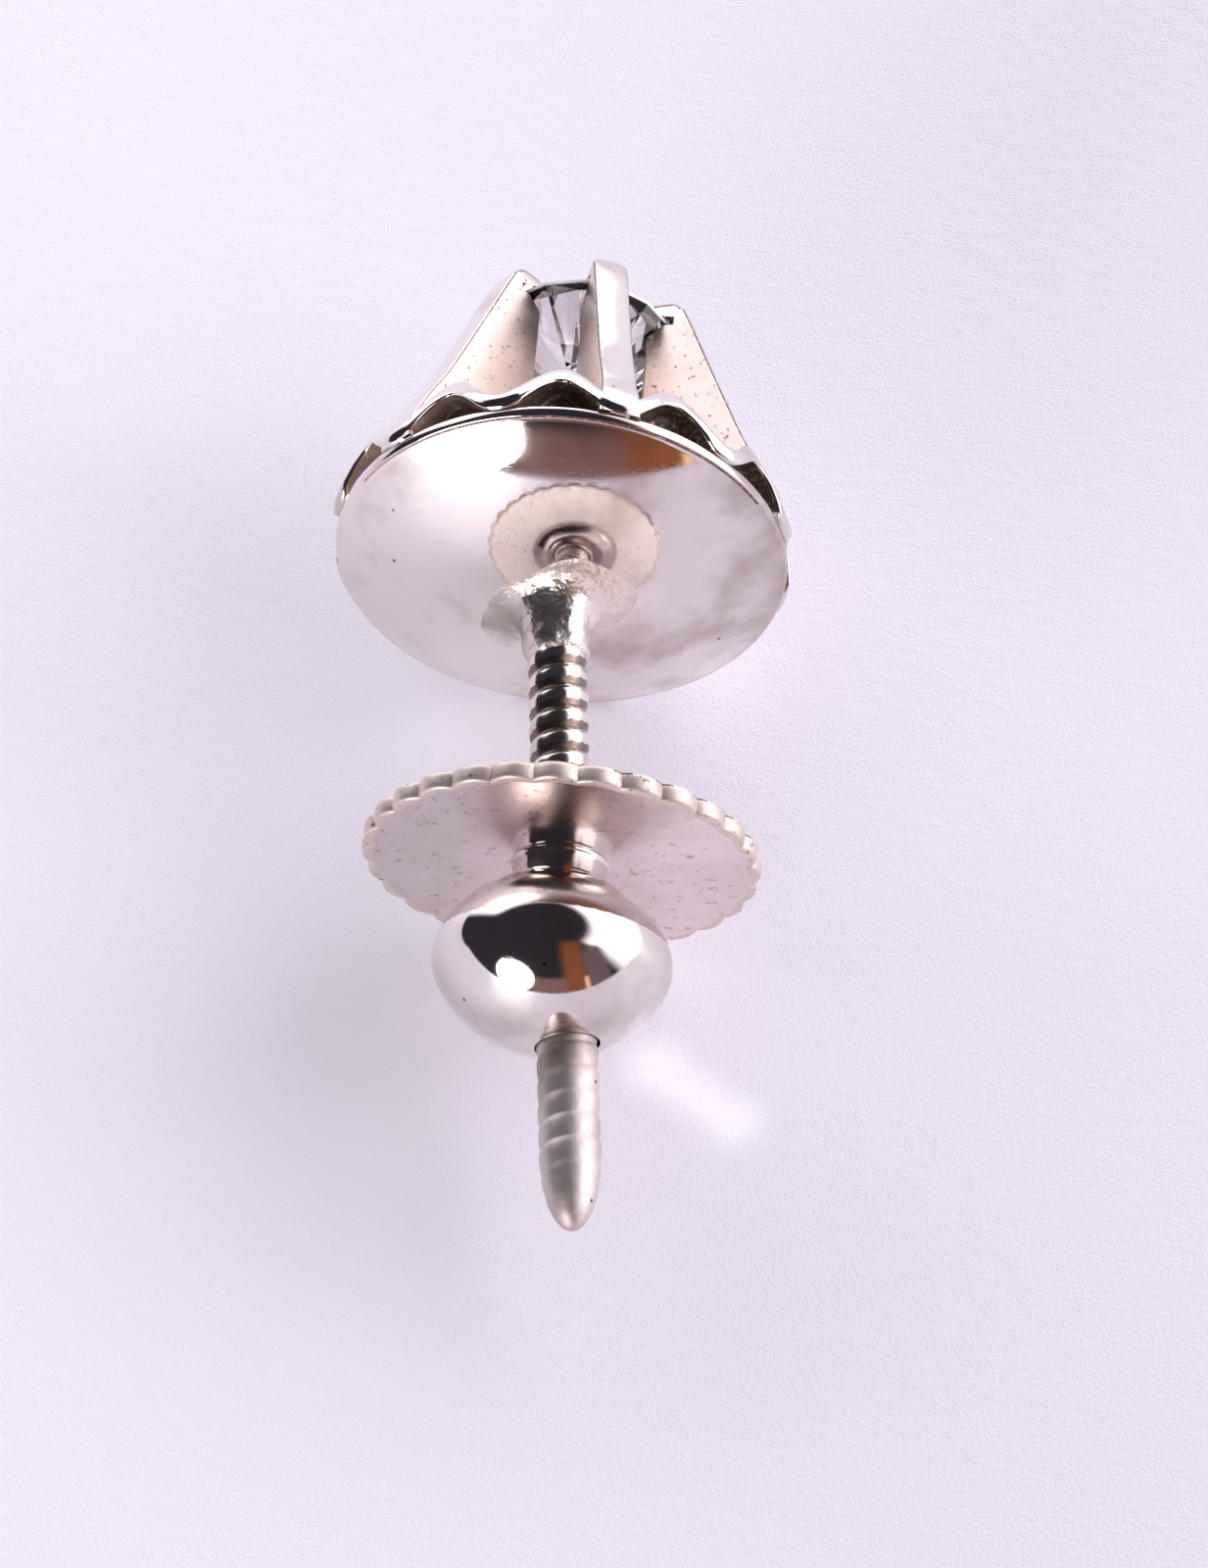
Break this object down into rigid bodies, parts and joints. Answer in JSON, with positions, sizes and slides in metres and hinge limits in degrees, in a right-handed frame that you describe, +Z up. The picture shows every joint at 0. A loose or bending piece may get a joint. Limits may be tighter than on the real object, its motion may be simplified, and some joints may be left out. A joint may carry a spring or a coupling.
{
  "type": "diamond stud earring",
  "caption": "Screw-back stud earring lying on its side: a round brilliant in a claw crown on a domed back plate, with a threaded post and a milled nut.",
  "frame": {"origin": "on the surface the stud lies on, under the middle of its bounding box", "axes": "+Z up, +Y along the crown towards the stone, -Y towards the free end of the post, +X across"},
  "size_m": [0.0076, 0.0174, 0.0077],
  "materials": {
    "polished_white_gold": "polished white gold with hairlines, brushed on the sides of the claws",
    "diamond": "cut and polished facets",
    "worn_white_gold": "worn white gold, satin on the disc and bright on the ball"
  },
  "bodies": {
    "head": {"setting": "polished_white_gold", "diamond": "diamond"},
    "bush": {"nut_bush": "worn_white_gold"},
    "nut": {"nut": "worn_white_gold"}
  },
  "joints": [
    {"name": "nut_travel", "type": "slide", "parent": "head", "child": "bush", "axis": [0.0941, -0.985, -0.1448], "range_m": [-0.0024, 0.0064]},
    {"name": "nut_turn", "type": "hinge", "parent": "bush", "child": "nut", "pos_m": [0.00041, -0.00216, 0.00328], "axis": [0.0941, -0.985, -0.1448], "range_deg": [-2161, 5761]}
  ],
  "couplings": [
    {"joint": "nut_turn", "follows": "nut_travel", "rad_per_m": 15708}
  ]
}
